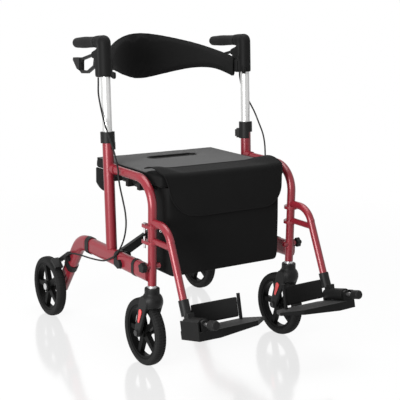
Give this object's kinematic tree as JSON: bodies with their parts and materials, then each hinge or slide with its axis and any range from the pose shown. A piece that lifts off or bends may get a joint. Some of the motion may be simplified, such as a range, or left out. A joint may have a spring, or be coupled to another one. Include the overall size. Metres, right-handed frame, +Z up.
{
  "type": "rollator transport chair",
  "caption": "Folding rollator and transport chair with casters, cable brakes, swing-away footrests, padded seat, front bag, bowed backrest and height-adjusting push handles.",
  "frame": {"origin": "on the floor, under the middle of the overall box", "axes": "+Z up, -Y towards the footrests, +Y towards the push handles, +X to the chair's left"},
  "size_m": [0.6328, 1.0072, 0.9417],
  "materials": {
    "frame_paint": "satin metallic",
    "black_plastic": "satin",
    "bolt_steel": "satin",
    "cable_sheath": "smooth",
    "wheel_plastic": "satin",
    "tyre_rubber": "matt",
    "red_lens": "gloss",
    "bright_tube": "polished",
    "grip_rubber": "matt",
    "black_cloth": "woven",
    "black_paint": "satin"
  },
  "bodies": {
    "right_frame": {"rear_post_right": "frame_paint", "front_loop_right": "frame_paint", "lower_rail_right": "frame_paint", "frame_clips_right": "black_plastic", "height_collar_right": "black_plastic", "rear_axle_right": "bolt_steel", "brake_cable_right": "cable_sheath"},
    "left_frame": {"rear_post_left": "frame_paint", "front_loop_left": "frame_paint", "lower_rail_left": "frame_paint", "frame_clips_left": "black_plastic", "height_collar_left": "black_plastic", "rear_axle_left": "bolt_steel", "brake_cable_left": "cable_sheath"},
    "brace_arm_a": {"brace_arm_a": "black_paint", "brace_pin": "bolt_steel"},
    "brace_arm_b": {"brace_arm_b": "black_paint"},
    "seat": {"seat": "black_cloth", "bag": "black_cloth"},
    "handle_right": {"handle_tube_right": "bright_tube", "handle_body_right": "black_plastic", "grip_right": "grip_rubber", "backrest": "black_cloth"},
    "button_right": {"height_button_right": "black_plastic"},
    "lever_right": {"brake_lever_right": "black_plastic"},
    "brake_right": {"brake_arm_right": "black_plastic"},
    "rear_wheel_right": {"rear_wheel_right": "wheel_plastic", "rear_tyre_right": "tyre_rubber"},
    "caster_right": {"caster_fork_right": "black_plastic", "caster_bolts_right": "bolt_steel", "caster_reflectors_right": "red_lens"},
    "front_wheel_right": {"front_wheel_right": "wheel_plastic", "front_tyre_right": "tyre_rubber"},
    "hanger_right": {"footrest_hanger_right": "frame_paint", "hanger_pin_right": "bolt_steel", "footrest_leg_right": "black_plastic"},
    "pivot_right": {"plate_pivot_right": "bolt_steel"},
    "plate_right": {"footplate_right": "black_plastic", "heel_strap_right": "black_cloth"},
    "knob_right": {"post_knob_right": "black_plastic"},
    "handle_left": {"handle_tube_left": "bright_tube", "handle_body_left": "black_plastic", "grip_left": "grip_rubber"},
    "button_left": {"height_button_left": "black_plastic"},
    "lever_left": {"brake_lever_left": "black_plastic"},
    "brake_left": {"brake_arm_left": "black_plastic"},
    "rear_wheel_left": {"rear_wheel_left": "wheel_plastic", "rear_tyre_left": "tyre_rubber"},
    "caster_left": {"caster_fork_left": "black_plastic", "caster_bolts_left": "bolt_steel", "caster_reflectors_left": "red_lens"},
    "front_wheel_left": {"front_wheel_left": "wheel_plastic", "front_tyre_left": "tyre_rubber"},
    "hanger_left": {"footrest_hanger_left": "frame_paint", "hanger_pin_left": "bolt_steel", "footrest_leg_left": "black_plastic"},
    "pivot_left": {"plate_pivot_left": "bolt_steel"},
    "plate_left": {"footplate_left": "black_plastic", "heel_strap_left": "black_cloth"},
    "knob_left": {"post_knob_left": "black_plastic"}
  },
  "joints": [
    {"name": "fold", "type": "hinge", "parent": "right_frame", "child": "brace_arm_a", "pos_m": [-0.226, 0.027, 0.292], "axis": [0, -1, 0], "range_deg": [0, 48], "deforming": ["seat", "bag", "backrest", "heel_strap_right", "heel_strap_left"]},
    {"name": "brace_cross", "type": "hinge", "parent": "brace_arm_a", "child": "brace_arm_b", "pos_m": [0, 0.027, 0.40818], "axis": [0, -1, 0], "range_deg": [-97, 0]},
    {"name": "left_level", "type": "hinge", "parent": "brace_arm_b", "child": "left_frame", "pos_m": [0.226, 0.027, 0.292], "axis": [0, -1, 0], "range_deg": [0, 49]},
    {"name": "seat_lift", "type": "slide", "parent": "right_frame", "child": "seat", "axis": [-0.5376, 0, 0.8432], "range_m": [0, 0.305]},
    {"name": "handle_slide_right", "type": "slide", "parent": "right_frame", "child": "handle_right", "axis": [0, 0.0663, 0.9978], "range_m": [-0.1, 0], "deforming": ["brake_cable_right", "brake_cable_left"]},
    {"name": "button_press_right", "type": "slide", "parent": "right_frame", "child": "button_right", "axis": [-0.7071, -0.7056, 0.0469], "range_m": [0, 0.004], "stiffness_N_per_m": 400},
    {"name": "lever_squeeze_right", "type": "hinge", "parent": "handle_right", "child": "lever_right", "pos_m": [-0.255, 0.14265, 0.8811], "axis": [1, 0, 0], "range_deg": [0, 9], "stiffness_Nm_per_rad": 2.5, "springref_deg": -5.73},
    {"name": "brake_press_right", "type": "hinge", "parent": "right_frame", "child": "brake_right", "pos_m": [-0.28, 0.305, 0.216], "axis": [1, 0, 0], "range_deg": [-3, 0]},
    {"name": "rear_wheel_spin_right", "type": "hinge", "parent": "right_frame", "child": "rear_wheel_right", "pos_m": [-0.298, 0.40412, 0.1], "axis": [1, 0, 0], "continuous": true},
    {"name": "caster_swivel_right", "type": "hinge", "parent": "right_frame", "child": "caster_right", "pos_m": [-0.25, -0.179, 0.24], "axis": [0, 0, 1], "continuous": true},
    {"name": "front_wheel_spin_right", "type": "hinge", "parent": "caster_right", "child": "front_wheel_right", "pos_m": [-0.25, -0.14, 0.1], "axis": [1, 0, 0], "continuous": true},
    {"name": "hanger_swing_right", "type": "hinge", "parent": "right_frame", "child": "hanger_right", "pos_m": [-0.25, -0.179, 0.4], "axis": [0, 0, -1], "range_deg": [0, 90]},
    {"name": "plate_lift_right", "type": "hinge", "parent": "hanger_right", "child": "pivot_right", "pos_m": [-0.25, -0.404, 0.203], "axis": [0, -0.9703, 0.2419], "range_deg": [0, 91]},
    {"name": "plate_flip_right", "type": "hinge", "parent": "pivot_right", "child": "plate_right", "pos_m": [-0.25, -0.404, 0.203], "axis": [0, 0.9703, -0.2419], "range_deg": [-90, 0], "deforming": ["heel_strap_right"]},
    {"name": "knob_turn_right", "type": "hinge", "parent": "right_frame", "child": "knob_right", "pos_m": [-0.276, -0.179, 0.306], "axis": [1, 0, 0], "continuous": true},
    {"name": "handle_slide_left", "type": "slide", "parent": "left_frame", "child": "handle_left", "axis": [0, 0.0663, 0.9978], "range_m": [-0.1, 0], "deforming": ["brake_cable_left"]},
    {"name": "button_press_left", "type": "slide", "parent": "left_frame", "child": "button_left", "axis": [0.7071, -0.7056, 0.0469], "range_m": [0, 0.004], "stiffness_N_per_m": 400},
    {"name": "lever_squeeze_left", "type": "hinge", "parent": "handle_left", "child": "lever_left", "pos_m": [0.255, 0.14265, 0.8811], "axis": [1, 0, 0], "range_deg": [0, 9], "stiffness_Nm_per_rad": 2.5, "springref_deg": -5.73},
    {"name": "brake_press_left", "type": "hinge", "parent": "left_frame", "child": "brake_left", "pos_m": [0.28, 0.305, 0.216], "axis": [1, 0, 0], "range_deg": [-3, 0]},
    {"name": "rear_wheel_spin_left", "type": "hinge", "parent": "left_frame", "child": "rear_wheel_left", "pos_m": [0.298, 0.40412, 0.1], "axis": [1, 0, 0], "continuous": true},
    {"name": "caster_swivel_left", "type": "hinge", "parent": "left_frame", "child": "caster_left", "pos_m": [0.25, -0.179, 0.24], "axis": [0, 0, 1], "continuous": true},
    {"name": "front_wheel_spin_left", "type": "hinge", "parent": "caster_left", "child": "front_wheel_left", "pos_m": [0.25, -0.14, 0.1], "axis": [1, 0, 0], "continuous": true},
    {"name": "hanger_swing_left", "type": "hinge", "parent": "left_frame", "child": "hanger_left", "pos_m": [0.25, -0.179, 0.4], "axis": [0, 0, 1], "range_deg": [0, 90]},
    {"name": "plate_lift_left", "type": "hinge", "parent": "hanger_left", "child": "pivot_left", "pos_m": [0.25, -0.404, 0.203], "axis": [0, 0.9703, -0.2419], "range_deg": [0, 91]},
    {"name": "plate_flip_left", "type": "hinge", "parent": "pivot_left", "child": "plate_left", "pos_m": [0.25, -0.404, 0.203], "axis": [0, -0.9703, 0.2419], "range_deg": [-90, 0], "deforming": ["heel_strap_left"]},
    {"name": "knob_turn_left", "type": "hinge", "parent": "left_frame", "child": "knob_left", "pos_m": [0.276, -0.179, 0.306], "axis": [1, 0, 0], "continuous": true}
  ],
  "couplings": [
    {"joint": "brace_cross", "follows": "fold", "ratio": -2},
    {"joint": "left_level", "follows": "fold", "ratio": 1},
    {"joint": "seat_lift", "follows": "fold", "m_per_rad": 0.35775},
    {"joint": "brake_press_right", "follows": "lever_squeeze_right", "ratio": -0.33333},
    {"joint": "plate_lift_right", "follows": "fold", "ratio": 1.875},
    {"joint": "handle_slide_left", "follows": "handle_slide_right", "ratio": 1},
    {"joint": "brake_press_left", "follows": "lever_squeeze_left", "ratio": -0.33333},
    {"joint": "plate_lift_left", "follows": "fold", "ratio": 1.875}
  ]
}
